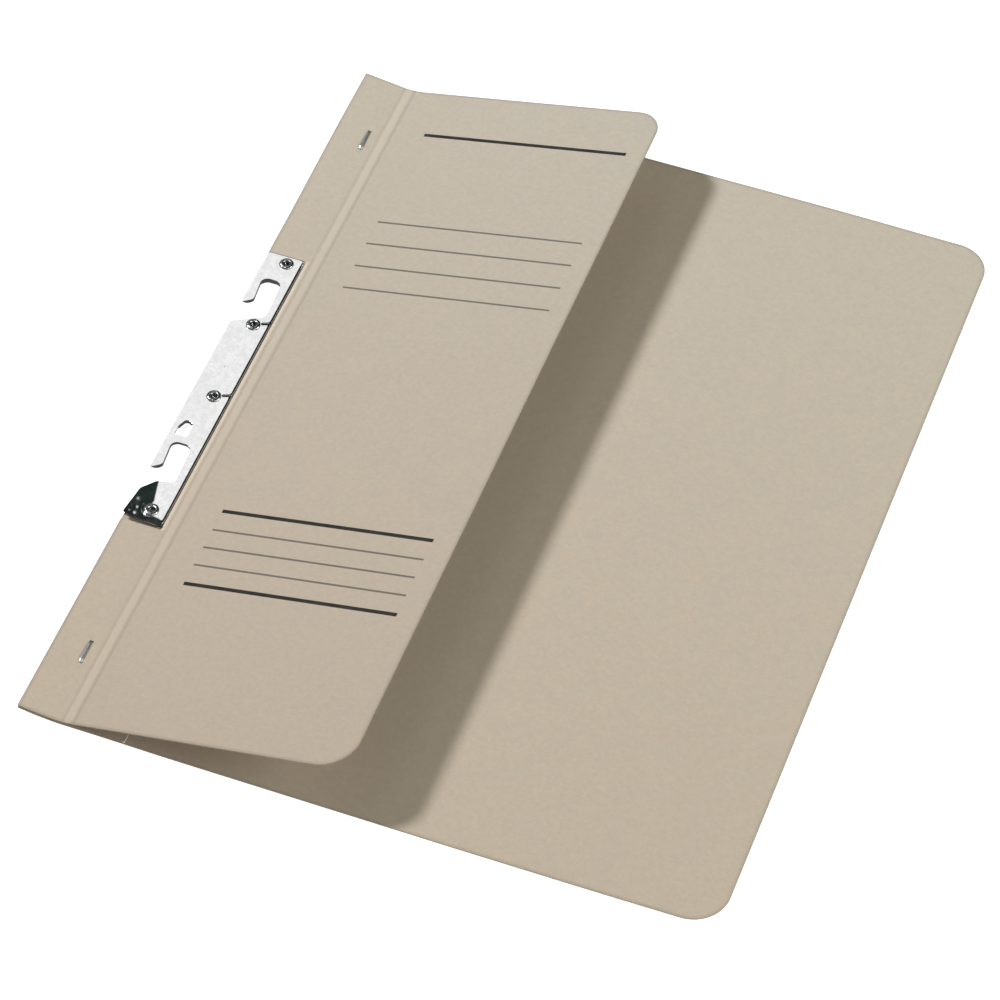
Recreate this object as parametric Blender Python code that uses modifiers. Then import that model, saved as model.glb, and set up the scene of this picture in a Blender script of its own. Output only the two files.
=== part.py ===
"""Hook-in fastener folder: card covers, a riveted hook rail in the spine and a two-prong filing fastener.

The folder lies on its back cover. +X runs from the spine to the fore edge, +Y from the foot to the head, +Z up.
The origin is at the middle of the sheet, at the height of the surface it lies on. All driving sizes are in
millimetres, and positions on the sheet are counted from the spine (x) and from the foot (y).
"""

import math

import bmesh
import bpy
from mathutils import Matrix

MM = 0.001

# Card sheets
SHEET_W, SHEET_H = 238.0, 305.0
CARD = 0.40
CORNER_R = 11.0
BACK_Z = 0.55          # underside of the back cover, clear of rivet tails and staple clinches
INNER_Z = 1.30         # underside of the inner binding strip
FRONT_Z = 1.75         # underside of the front sheet at the spine
INNER_W = 38.0
LAYER_GAP = 0.05

# Front cover folds
SCORE_1, SCORE_2 = 15.8, 19.4
SCORE_GAP = 0.30
COVER_REACH = 98.1     # from the second score to the fore edge of the front cover
COVER_TILT = 13.25     # how far the cover stands open, shared by the two folds

# Hook rail
RAIL_X0, RAIL_X1 = 0.2, 14.1
RAIL_Y0, RAIL_Y1 = 84.6, 213.0
RAIL_T = 0.65
RAIL_ROLL_R = 0.50
RING_PITCH = 80.0
UPPER_SEAT = 201.2     # closed end of the upper hook slot
WINDOW_X1 = 14.75
WINDOW_GAP = 0.40

# Rivets
RIVET_X = 8.2
RIVET_Y = (209.8, 179.4, 144.3, 90.8)
RIVET_HEAD_R, RIVET_SHANK_R, RIVET_HOLE_R = 2.60, 1.25, 1.55

# Staples
STAPLE_X = 11.8
STAPLE_Y = (275.2, 28.6)
STAPLE_LENGTH = 9.4
WIRE_R = 0.22
STAPLE_HOLE_R = 0.45

# Filing fastener
PRONG_X = 32.0
PRONG_PITCH = 80.0
PRONG_W, PRONG_T, PRONG_L = 5.0, 0.30, 29.0
PRONG_PIVOT_Z = 2.40
BASE_Z, BASE_T = 1.00, 0.25
SLOT_W, SLOT_L = 5.8, 1.1
BAR_W, BAR_L, BAR_T = 10.0, 116.0, 0.40
BAR_Z0, BAR_Z1 = 1.75, 3.25
LIP_REACH, LIP_T = 1.5, 0.27
SLIDER_L, SLIDER_T, SLIDER_Z = 8.5, 0.30, 2.63
SLIDER_REST = 5.45     # from the middle of the bar to the middle of a slider, unlocked
SLIDER_GRIP_TOP = 3.50

MIDDLE_Y = SHEET_H / 2
LOWER_SEAT = UPPER_SEAT - RING_PITCH


# ---------------------------------------------------------------- scene and helpers

for old in list(bpy.data.objects):
    bpy.data.objects.remove(old, do_unlink=True)

parts = bpy.data.collections.new("hook_in_folder")
cutters = bpy.data.collections.new("cutters")
for collection in (parts, cutters):
    bpy.context.scene.collection.children.link(collection)
cutters.hide_render = True


def material(name, rgb, roughness, metallic=0.0):
    made = bpy.data.materials.new(name)
    made.use_nodes = True
    shader = made.node_tree.nodes["Principled BSDF"]
    shader.inputs["Base Color"].default_value = (*rgb, 1.0)
    shader.inputs["Roughness"].default_value = roughness
    shader.inputs["Metallic"].default_value = metallic
    return made


CARD_BUFF = material("card_buff", (0.535, 0.464, 0.372), 0.86)
CARD_INNER = material("card_inner", (0.560, 0.490, 0.395), 0.86)
NICKEL = material("nickel_plate", (0.83, 0.82, 0.80), 0.22, 1.0)
RIVET_METAL = material("rivet_metal", (0.72, 0.71, 0.69), 0.28, 1.0)
WIRE_METAL = material("staple_wire", (0.62, 0.62, 0.61), 0.30, 1.0)
TINPLATE = material("tinplate", (0.74, 0.73, 0.70), 0.32, 1.0)


def place(x, y, z):
    """A point given from the spine, the foot and the surface, in the part's own frame."""
    return ((x - SHEET_W / 2) * MM, (y - SHEET_H / 2) * MM, z * MM)


def rounded(corners, step=18.0):
    """A closed outline through corners (x, y, radius), each one rounded by an arc of that radius."""
    points = []
    for i, (x, y, r) in enumerate(corners):
        if r <= 0:
            points.append((x, y))
            continue
        px, py, _ = corners[i - 1]
        nx, ny, _ = corners[(i + 1) % len(corners)]
        a = math.atan2(py - y, px - x)
        b = math.atan2(ny - y, nx - x)
        turn = (b - a + math.pi) % (2 * math.pi) - math.pi
        reach = r / math.tan(abs(turn) / 2)
        start = (x + reach * math.cos(a), y + reach * math.sin(a))
        middle = a + turn / 2
        far = r / math.sin(abs(turn) / 2)
        cx, cy = x + far * math.cos(middle), y + far * math.sin(middle)
        first = math.atan2(start[1] - cy, start[0] - cx)
        sweep = (math.pi - abs(turn)) * (-1 if turn > 0 else 1)
        count = max(1, math.ceil(math.degrees(abs(sweep)) / step))
        for k in range(count + 1):
            angle = first + sweep * k / count
            points.append((cx + r * math.cos(angle), cy + r * math.sin(angle)))
    return points


def circle(x, y, r, count):
    return [
        (x + r * math.cos(2 * math.pi * k / count), y + r * math.sin(2 * math.pi * k / count))
        for k in range(count)
    ]


def box_outline(x0, y0, x1, y1):
    return [(x0, y0), (x1, y0), (x1, y1), (x0, y1)]


def flat_shape(name, loops, thickness, look, location=(0, 0, 0), rotation=(0, 0, 0), parent=None):
    """A flat outline with holes, given in millimetres in its own plane, filled and given its thickness."""
    data = bpy.data.curves.new(name, "CURVE")
    data.dimensions = "2D"
    data.fill_mode = "BOTH"
    data.extrude = thickness * MM / 2
    for loop in loops:
        spline = data.splines.new("POLY")
        spline.points.add(len(loop) - 1)
        for point, (x, y) in zip(spline.points, loop):
            point.co = (x * MM, y * MM, 0, 1)
        spline.use_cyclic_u = True
    data.materials.append(look)
    made = bpy.data.objects.new(name, data)
    made.location = location
    made.rotation_euler = rotation
    made.parent = parent
    parts.objects.link(made)
    return made


def sheet(name, loops, z0, look, thickness=CARD):
    """A level sheet whose outline is given from the spine and the foot."""
    moved = [[(x - SHEET_W / 2, y - SHEET_H / 2) for x, y in loop] for loop in loops]
    return flat_shape(name, moved, thickness, look, (0, 0, (z0 + thickness / 2) * MM))


def wire(name, points, radius, look, resolution=2):
    data = bpy.data.curves.new(name, "CURVE")
    data.dimensions = "3D"
    data.bevel_depth = radius * MM
    data.bevel_resolution = resolution
    data.use_fill_caps = True
    spline = data.splines.new("POLY")
    spline.points.add(len(points) - 1)
    for point, (x, y, z) in zip(spline.points, points):
        point.co = (*place(x, y, z), 1)
    data.materials.append(look)
    made = bpy.data.objects.new(name, data)
    parts.objects.link(made)
    return made


def as_mesh(curve):
    """The same piece as a welded mesh, so that it can be cut or joined."""
    bpy.context.view_layer.update()
    graph = bpy.context.evaluated_depsgraph_get()
    data = bpy.data.meshes.new_from_object(curve.evaluated_get(graph))
    shape = bmesh.new()
    shape.from_mesh(data)
    bmesh.ops.remove_doubles(shape, verts=shape.verts, dist=0.001 * MM)
    bmesh.ops.recalc_face_normals(shape, faces=shape.faces)
    shape.to_mesh(data)
    shape.free()
    name = curve.name
    world = curve.matrix_world.copy()
    bpy.data.objects.remove(curve, do_unlink=True)
    made = bpy.data.objects.new(name, data)
    made.matrix_world = world
    parts.objects.link(made)
    return made


def to_cutters(tool):
    parts.objects.unlink(tool)
    cutters.objects.link(tool)
    tool.hide_render = True
    tool.display_type = "WIRE"


def combine(target, tool, operation):
    step = target.modifiers.new(tool.name, "BOOLEAN")
    step.operation = operation
    step.object = tool
    step.solver = "EXACT"


# ---------------------------------------------------------------- outlines along the spine


def hook_slot(seat):
    """Corners of one hook slot, from the tip of its finger to the lower corner of its mouth."""
    return [
        (RAIL_X0, seat - 13.4, 0.45),
        (3.7, seat - 10.8, 1.9),
        (2.7, seat, 2.6),
        (10.0, seat, 2.6),
        (11.0, seat - 17.0, 2.4),
        (RAIL_X0, seat - 22.8, 1.6),
    ]


def card_notch(seat, head_room):
    """Corners of the notch that keeps the card clear of one hook slot, from its upper to its lower end."""
    return [
        (0.0, seat + head_room, 0.0),
        (11.2, seat + head_room, 2.5),
        (12.1, seat - 17.2, 3.0),
        (0.0, seat - 24.2, 0.0),
    ]


LOWER_WINDOW = [(2.2, 123.9, 0.8), (6.8, 123.9, 1.0), (6.8, 130.2, 1.6), (3.6, 131.6, 1.2), (2.2, 128.0, 1.0)]
LOWER_NOTCH_ROOM = 131.6 - LOWER_SEAT + 1.0


def spine_notches():
    return card_notch(UPPER_SEAT, 1.0) + card_notch(LOWER_SEAT, LOWER_NOTCH_ROOM)


def rivet_holes():
    return [circle(RIVET_X, y, RIVET_HOLE_R, 16) for y in RIVET_Y]


def staple_legs():
    reach = STAPLE_LENGTH / 2 - WIRE_R
    return [(STAPLE_X, y + side * reach) for y in STAPLE_Y for side in (1, -1)]


def staple_holes():
    return [circle(x, y, STAPLE_HOLE_R, 10) for x, y in staple_legs()]


# ---------------------------------------------------------------- card sheets

back = [
    (0.0, 0.0, 0.0),
    (SHEET_W, 0.0, CORNER_R),
    (SHEET_W, SHEET_H, CORNER_R),
    (0.0, SHEET_H, 0.0),
] + spine_notches()
sheet("back_cover", [rounded(back, 10.0)] + rivet_holes() + staple_holes(), BACK_Z, CARD_BUFF)

inner = [
    (0.0, 0.0, 0.0),
    (INNER_W, 0.0, 0.0),
    (INNER_W, SHEET_H, 0.0),
    (0.0, SHEET_H, 0.0),
] + spine_notches()
prong_slots = [
    box_outline(PRONG_X - SLOT_W / 2, y - SLOT_L / 2, PRONG_X + SLOT_W / 2, y + SLOT_L / 2)
    for y in (MIDDLE_Y + PRONG_PITCH / 2, MIDDLE_Y - PRONG_PITCH / 2)
]
sheet(
    "inner_binding_strip",
    [rounded(inner)] + rivet_holes() + staple_holes() + prong_slots,
    INNER_Z,
    CARD_INNER,
)

strip_edge = SCORE_1 - SCORE_GAP / 2
spine_strip = [
    (0.0, 0.0, 0.0),
    (strip_edge, 0.0, 0.0),
    (strip_edge, SHEET_H, 0.0),
    (0.0, SHEET_H, 0.0),
    (0.0, RAIL_Y1 + WINDOW_GAP, 0.0),
    (WINDOW_X1, RAIL_Y1 + WINDOW_GAP, 0.8),
    (WINDOW_X1, RAIL_Y0 - WINDOW_GAP, 0.8),
    (0.0, RAIL_Y0 - WINDOW_GAP, 0.0),
]
sheet("front_spine_strip", [rounded(spine_strip)] + staple_holes(), FRONT_Z, CARD_BUFF)

# The two folds: empties on the score lines, at the upper face of the card.
band_fold = bpy.data.objects.new("band_fold", None)
band_fold.location = place(SCORE_1, MIDDLE_Y, FRONT_Z + CARD)
band_fold.rotation_euler = (0, -math.radians(COVER_TILT / 2), 0)
parts.objects.link(band_fold)

cover_fold = bpy.data.objects.new("cover_fold", None)
cover_fold.parent = band_fold
cover_fold.location = ((SCORE_2 - SCORE_1) * MM, 0, 0)
cover_fold.rotation_euler = (0, -math.radians(COVER_TILT / 2), 0)
parts.objects.link(cover_fold)

half = SHEET_H / 2
flat_shape(
    "front_hinge_band",
    [box_outline(SCORE_GAP / 2, -half, SCORE_2 - SCORE_1 - SCORE_GAP / 2, half)],
    CARD,
    CARD_BUFF,
    (0, 0, -CARD / 2 * MM),
    parent=band_fold,
)
cover = [
    (SCORE_GAP / 2, -half, 0.0),
    (COVER_REACH, -half, CORNER_R),
    (COVER_REACH, half, CORNER_R),
    (SCORE_GAP / 2, half, 0.0),
]
flat_shape("front_cover", [rounded(cover, 10.0)], CARD, CARD_BUFF, (0, 0, -CARD / 2 * MM), parent=cover_fold)


# ---------------------------------------------------------------- hook rail with its rolled edge

rail_outline = (
    [(RAIL_X0, RAIL_Y0, 1.2), (RAIL_X1 - 0.2, RAIL_Y0, 0.8), (RAIL_X1 - 0.2, RAIL_Y1, 0.8), (RAIL_X0, RAIL_Y1, 1.0)]
    + hook_slot(UPPER_SEAT)
    + hook_slot(LOWER_SEAT)
)
rail = as_mesh(
    sheet(
        "hook_rail",
        [rounded(rail_outline, 15.0), rounded(LOWER_WINDOW, 30.0)] + rivet_holes(),
        FRONT_Z,
        NICKEL,
        RAIL_T,
    )
)
roll_x = RAIL_X1 - 0.2
roll_z = FRONT_Z + RAIL_ROLL_R + 0.03
roll = as_mesh(
    wire(
        "rail_rolled_edge",
        [(roll_x, RAIL_Y0 + 1.3, roll_z), (roll_x, RAIL_Y1 - 1.3, roll_z)],
        RAIL_ROLL_R,
        NICKEL,
        3,
    )
)
to_cutters(roll)
combine(rail, roll, "UNION")


# ---------------------------------------------------------------- rivets

rail_top = FRONT_Z + RAIL_T
head_z = rail_top + LAYER_GAP
tail_z = BACK_Z - LAYER_GAP
rivet_profile = [
    (0.0, head_z + 0.02),
    (0.70, head_z + 0.02),
    (0.95, head_z + 0.42),
    (1.25, head_z + 0.58),
    (1.75, head_z + 0.52),
    (2.10, head_z + 0.30),
    (RIVET_HEAD_R, head_z),
    (RIVET_SHANK_R, head_z),
    (RIVET_SHANK_R, tail_z),
    (RIVET_HEAD_R - 0.1, tail_z),
    (RIVET_HEAD_R - 0.1, tail_z - 0.22),
    (1.70, 0.0),
    (0.0, 0.0),
]
rivet_mesh = bpy.data.meshes.new("rivet_profile")
rivet_mesh.from_pydata(
    [(x * MM, 0, z * MM) for x, z in rivet_profile],
    [(i, i + 1) for i in range(len(rivet_profile) - 1)],
    [],
)
rivet_mesh.materials.append(RIVET_METAL)
for number, y in enumerate(RIVET_Y, 1):
    rivet = bpy.data.objects.new(f"rivet_{number}", rivet_mesh)
    rivet.location = place(RIVET_X, y, 0)
    turn = rivet.modifiers.new("turn", "SCREW")
    turn.axis = "Z"
    turn.steps = turn.render_steps = 18
    turn.use_merge_vertices = True
    turn.merge_threshold = 0.000001
    turn.use_smooth_shade = True
    parts.objects.link(rivet)


# ---------------------------------------------------------------- staples


def bend(points, radius, steps=4):
    """A path in the y-z plane with its corners rounded."""
    path = [points[0]]
    for before, at, after in zip(points, points[1:], points[2:]):
        a = math.atan2(before[1] - at[1], before[0] - at[0])
        b = math.atan2(after[1] - at[1], after[0] - at[0])
        turn_by = (b - a + math.pi) % (2 * math.pi) - math.pi
        reach = radius / math.tan(abs(turn_by) / 2)
        middle = a + turn_by / 2
        far = radius / math.sin(abs(turn_by) / 2)
        c = (at[0] + far * math.cos(middle), at[1] + far * math.sin(middle))
        s = (at[0] + reach * math.cos(a), at[1] + reach * math.sin(a))
        first = math.atan2(s[1] - c[1], s[0] - c[0])
        sweep = (math.pi - abs(turn_by)) * (-1 if turn_by > 0 else 1)
        for k in range(steps + 1):
            angle = first + sweep * k / steps
            path.append((c[0] + radius * math.cos(angle), c[1] + radius * math.sin(angle)))
    return path + [points[-1]]


crown_z = FRONT_Z + CARD + LAYER_GAP + WIRE_R
clinch_z = BACK_Z - LAYER_GAP - WIRE_R
leg = STAPLE_LENGTH / 2 - WIRE_R
for name, y in (("staple_upper", STAPLE_Y[0]), ("staple_lower", STAPLE_Y[1])):
    path = bend([(-1.0, clinch_z), (-leg, clinch_z), (-leg, crown_z), (leg, crown_z), (leg, clinch_z), (1.0, clinch_z)], 0.42)
    wire(name, [(STAPLE_X, y + dy, z) for dy, z in path], WIRE_R, WIRE_METAL)


# ---------------------------------------------------------------- filing fastener

root_top = BAR_Z0 + BAR_T
root = PRONG_PITCH / 2
base_profile = [
    (-root - 2.0, BASE_Z),
    (root + 2.0, BASE_Z),
    (root + 2.0, BASE_Z + BASE_T),
    (root + PRONG_T / 2, BASE_Z + BASE_T),
    (root + PRONG_T / 2, root_top),
    (root - PRONG_T / 2, root_top),
    (root - PRONG_T / 2, BASE_Z + BASE_T),
    (-root + PRONG_T / 2, BASE_Z + BASE_T),
    (-root + PRONG_T / 2, root_top),
    (-root - PRONG_T / 2, root_top),
    (-root - PRONG_T / 2, BASE_Z + BASE_T),
    (-root - 2.0, BASE_Z + BASE_T),
]
flat_shape(
    "prong_base",
    [base_profile],
    PRONG_W,
    TINPLATE,
    place(PRONG_X, MIDDLE_Y, 0),
    (math.pi / 2, 0, math.pi / 2),
)

for name, side in (("prong_upper", 1), ("prong_lower", -1)):
    w, tip = PRONG_W / 2, -side * PRONG_L
    outline = [(-w, 0.0, 0.0), (w, 0.0, 0.0), (w, tip, 1.8), (-w, tip, 1.8)]
    if side > 0:
        outline.reverse()
    flat_shape(
        name,
        [rounded(outline)],
        PRONG_T,
        TINPLATE,
        place(PRONG_X, MIDDLE_Y + side * root, PRONG_PIVOT_Z),
    )

b = BAR_W / 2
channel = [
    (-b, BAR_Z0, 0.2),
    (b, BAR_Z0, 0.2),
    (b, BAR_Z1, 0.25),
    (b - LIP_REACH, BAR_Z1, 0.0),
    (b - LIP_REACH, BAR_Z1 - LIP_T, 0.0),
    (b - BAR_T, BAR_Z1 - LIP_T, 0.0),
    (b - BAR_T, BAR_Z0 + BAR_T, 0.0),
    (-b + BAR_T, BAR_Z0 + BAR_T, 0.0),
    (-b + BAR_T, BAR_Z1 - LIP_T, 0.0),
    (-b + LIP_REACH, BAR_Z1 - LIP_T, 0.0),
    (-b + LIP_REACH, BAR_Z1, 0.0),
    (-b, BAR_Z1, 0.25),
]
bar = as_mesh(
    flat_shape(
        "cover_bar",
        [rounded(channel, 30.0)],
        BAR_L,
        TINPLATE,
        place(PRONG_X, MIDDLE_Y, 0),
        (math.pi / 2, 0, 0),
    )
)
for number, side in enumerate((1, -1), 1):
    bpy.ops.mesh.primitive_cube_add(size=1.0, location=place(PRONG_X, MIDDLE_Y + side * root, BAR_Z0 + BAR_T / 2))
    slot = bpy.context.object
    slot.name = f"bar_slot_{number}"
    slot.data.transform(Matrix.Diagonal((SLOT_W * MM, SLOT_L * MM, 1.5 * BAR_T * MM, 1.0)))
    for holder in list(slot.users_collection):
        holder.objects.unlink(slot)
    parts.objects.link(slot)
    to_cutters(slot)
    combine(bar, slot, "DIFFERENCE")

s = BAR_W / 2 - BAR_T - 0.15
grip = 1.9
slider_profile = [
    (-s, SLIDER_Z, 0.0),
    (s, SLIDER_Z, 0.0),
    (s, SLIDER_Z + SLIDER_T, 0.0),
    (grip, SLIDER_Z + SLIDER_T, 0.0),
    (grip, SLIDER_GRIP_TOP, 0.3),
    (-grip, SLIDER_GRIP_TOP, 0.3),
    (-grip, SLIDER_Z + SLIDER_T, 0.0),
    (-s, SLIDER_Z + SLIDER_T, 0.0),
]
for name, side in (("slider_upper", 1), ("slider_lower", -1)):
    flat_shape(
        name,
        [rounded(slider_profile, 30.0)],
        SLIDER_L,
        TINPLATE,
        place(PRONG_X, MIDDLE_Y + side * SLIDER_REST, 0),
        (math.pi / 2, 0, 0),
    )
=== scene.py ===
"""Looks of the hook-in fastener folder: card sheets with pressed scores, a stamped and plated hook rail
with eyelet rivets, wire staples, and the prong fastener inside, lit as a product photograph."""

import math

import bpy
import numpy as np
from mathutils import Matrix, Vector
from mathutils.geometry import delaunay_2d_cdt


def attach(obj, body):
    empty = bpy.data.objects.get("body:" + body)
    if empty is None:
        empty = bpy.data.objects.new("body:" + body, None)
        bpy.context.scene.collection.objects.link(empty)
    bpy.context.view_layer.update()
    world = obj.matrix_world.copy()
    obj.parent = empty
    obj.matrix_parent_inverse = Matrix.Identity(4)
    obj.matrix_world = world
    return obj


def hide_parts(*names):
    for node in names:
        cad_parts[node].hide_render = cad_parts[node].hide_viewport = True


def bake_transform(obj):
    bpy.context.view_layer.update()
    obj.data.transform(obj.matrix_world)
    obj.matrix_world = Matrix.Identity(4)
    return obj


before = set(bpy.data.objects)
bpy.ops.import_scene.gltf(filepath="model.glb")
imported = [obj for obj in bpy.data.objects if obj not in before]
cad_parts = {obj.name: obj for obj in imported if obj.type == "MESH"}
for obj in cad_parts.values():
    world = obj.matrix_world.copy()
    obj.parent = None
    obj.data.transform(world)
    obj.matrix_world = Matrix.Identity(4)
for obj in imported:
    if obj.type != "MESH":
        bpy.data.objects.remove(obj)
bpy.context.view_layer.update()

# ---------------------------------------------------------------- sizes, in millimetres on the flat sheet
# x runs from the spine to the fore edge, y from the foot to the head, z up from the table.

MM = 0.001
SHEET_W, SHEET_H = 238.0, 305.0
MIDDLE_X, MIDDLE_Y = SHEET_W / 2, SHEET_H / 2
CARD = 0.40
CORNER_R = 11.0
BACK_Z, INNER_Z, FRONT_Z = 0.55, 1.30, 1.75
FRONT_TOP = FRONT_Z + CARD
INNER_W = 38.0

SCORE_1, SCORE_2 = 15.8, 19.4
SEAM = (SCORE_1 + SCORE_2) / 2
COVER_REACH = 98.1
HALF_TILT = math.radians(13.25 / 2)
FOLD = 1.1              # half the width over which the card turns at a score

RAIL_X0, RAIL_X1 = 0.2, 13.80
RAIL_Y0, RAIL_Y1 = 84.6, 213.0
RAIL_T = 0.65
RAIL_TOP = FRONT_Z + RAIL_T
CREASE_1, CREASE_2 = 15.95, 19.95      # the bottom of each pressed score, a little beyond its fold
ROLL_X = 13.02          # where the fore edge of the rail begins to turn down
UPPER_SEAT, LOWER_SEAT = 201.2, 121.2
WINDOW_X1 = 14.08
SKEW, SKEW_Y = 0.0026, 183.0        # the fore edges of rail and window lean off the spine's line about this height
WINDOW_GAP = 0.40

RIVET_X = 8.2
RIVET_Y = (209.8, 179.4, 144.3, 90.8)
RIVET_HOLE_R = 1.55

STAPLE_X = 11.8
STAPLE_Y = (275.2, 28.6)
STAPLE_REACH = 4.48     # from the middle of a staple to the middle of a leg

PRONG_X = 32.0
PRONG_ROOT = 40.0
PRONG_W, PRONG_T, PRONG_L = 5.0, 0.30, 29.0
PRONG_Z = 2.40
SLOT_W, SLOT_L = 5.8, 1.1
BAR_L = 116.0
SLIDER_L, SLIDER_REST = 8.5, 5.45


def to_frame(points):
    """Sheet millimetres to metres in the folder's own frame."""
    return (np.asarray(points, float).reshape(-1, 3) - (MIDDLE_X, MIDDLE_Y, 0.0)) * MM


def smooth(t):
    t = np.clip(t, 0.0, 1.0)
    return t * t * (3.0 - 2.0 * t)


# ---------------------------------------------------------------- outlines


def rounded(corners, step=8.0):
    """An outline from corners (x, y, radius), each corner turned on an arc of its radius."""
    found, count = [], len(corners)
    for i, (x, y, r) in enumerate(corners):
        at = Vector((x, y))
        if r <= 0:
            found.append((x, y))
            continue
        a = Vector(corners[i - 1][:2]) - at
        b = Vector(corners[(i + 1) % count][:2]) - at
        a.normalize()
        b.normalize()
        half = a.angle(b) / 2
        centre = at + (a + b).normalized() * (r / math.sin(half))
        first = at + a * (r / math.tan(half)) - centre
        last = at + b * (r / math.tan(half)) - centre
        turn = math.atan2(first.x * last.y - first.y * last.x, first.dot(last))
        steps = max(2, math.ceil(abs(math.degrees(turn)) / step))
        for k in range(steps + 1):
            c, s = math.cos(turn * k / steps), math.sin(turn * k / steps)
            found.append((centre.x + c * first.x - s * first.y, centre.y + s * first.x + c * first.y))
    return np.array(found)


def circle(x, y, r, count=40):
    a = np.linspace(0, 2 * math.pi, count, endpoint=False)
    return np.stack([x + r * np.cos(a), y + r * np.sin(a)], 1)


def slot_outline(x, y, w, h, r):
    return rounded(
        [(x - w / 2, y - h / 2, r), (x + w / 2, y - h / 2, r), (x + w / 2, y + h / 2, r), (x - w / 2, y + h / 2, r)], 22.5
    )


def area(loop):
    x, y = loop.T
    return 0.5 * float(np.sum(x * np.roll(y, -1) - y * np.roll(x, -1)))


def facing(loops):
    """The outer loop counterclockwise and the holes clockwise, so that the material is always on the left."""
    return [loop if (area(loop) > 0) == (i == 0) else loop[::-1].copy() for i, loop in enumerate(loops)]


def split(loop, xs, ys, longest):
    """The loop with a point wherever it crosses a grid line, and no side longer than longest."""
    found = []
    for p, q in zip(loop, np.roll(loop, -1, 0)):
        d = q - p
        stops = {0.0}
        for axis, lines in ((0, xs), (1, ys)):
            if abs(d[axis]) > 1e-6:
                t = (np.asarray(lines) - p[axis]) / d[axis]
                stops.update(float(v) for v in t[(t > 0.02) & (t < 0.98)])
        stops = sorted(stops) + [1.0]
        length = float(np.hypot(*d))
        last = -1.0
        for a, b in zip(stops, stops[1:]):
            if (a - last) * length < 0.02:
                continue
            last = a
            parts = max(1, math.ceil((b - a) * length / longest))
            found += [p + d * (a + (b - a) * k / parts) for k in range(parts)]
    return np.array(found)


def inside(points, loops):
    """Which points the loops hold, by the even-odd rule."""
    held = np.zeros(len(points), bool)
    for loop in loops:
        a, b = loop, np.roll(loop, -1, 0)
        for (x0, y0), (x1, y1) in zip(a, b):
            if y0 == y1:
                continue
            crosses = (y0 > points[:, 1]) != (y1 > points[:, 1])
            held ^= crosses & (points[:, 0] < x0 + (points[:, 1] - y0) * (x1 - x0) / (y1 - y0))
    return held


def clearance(points, loops, besides=None):
    """Each point's distance to the nearest side of the loops, besides a side that lies at x = besides."""
    nearest = np.full(len(points), np.inf)
    for loop in loops:
        for p, q in zip(loop, np.roll(loop, -1, 0)):
            if besides is not None and abs(p[0] - besides) < 1e-6 and abs(q[0] - besides) < 1e-6:
                continue
            d = q - p
            t = np.clip(((points - p) @ d) / max(float(d @ d), 1e-12), 0, 1)
            nearest = np.minimum(nearest, np.hypot(*(points - p - t[:, None] * d).T))
    return nearest


def inward(loop):
    """For each point of a loop, the step that moves its two sides one millimetre into the material."""
    before, after = loop - np.roll(loop, 1, 0), np.roll(loop, -1, 0) - loop
    n0 = np.stack([-before[:, 1], before[:, 0]], 1) / np.linalg.norm(before, axis=1, keepdims=True)
    n1 = np.stack([-after[:, 1], after[:, 0]], 1) / np.linalg.norm(after, axis=1, keepdims=True)
    return (n0 + n1) / np.maximum(1.0 + np.sum(n0 * n1, 1, keepdims=True), 0.4)


# ---------------------------------------------------------------- meshes


def finished(name, points, faces, looks, indices=None, flat=None, edge=None, sharp=35.0):
    """An object from millimetre points on the sheet, smooth except across sharp edges."""
    mesh = bpy.data.meshes.new(name)
    mesh.from_pydata([tuple(p) for p in to_frame(points)], [], [tuple(int(i) for i in f) for f in faces])
    for look in looks:
        mesh.materials.append(look)
    if indices is not None:
        mesh.polygons.foreach_set("material_index", np.asarray(indices, np.int32))
    if flat is not None:
        # Where each point lay on the flat sheet: grain and fibres are placed by this, so they follow a fold.
        made = mesh.attributes.new("sheet", "FLOAT_VECTOR", "POINT")
        made.data.foreach_set("vector", np.asarray(flat, np.float32).ravel())
    if edge is not None:
        # How far inside the cut edge each point lies: 0 at the edge, 1 from the border row inwards.
        made = mesh.attributes.new("edge", "FLOAT", "POINT")
        made.data.foreach_set("value", np.asarray(edge, np.float32))
    mesh.shade_smooth()
    mesh.set_sharp_from_angle(angle=math.radians(sharp))
    mesh.update()
    obj = bpy.data.objects.new(name, mesh)
    bpy.context.scene.collection.objects.link(obj)
    return obj


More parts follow.
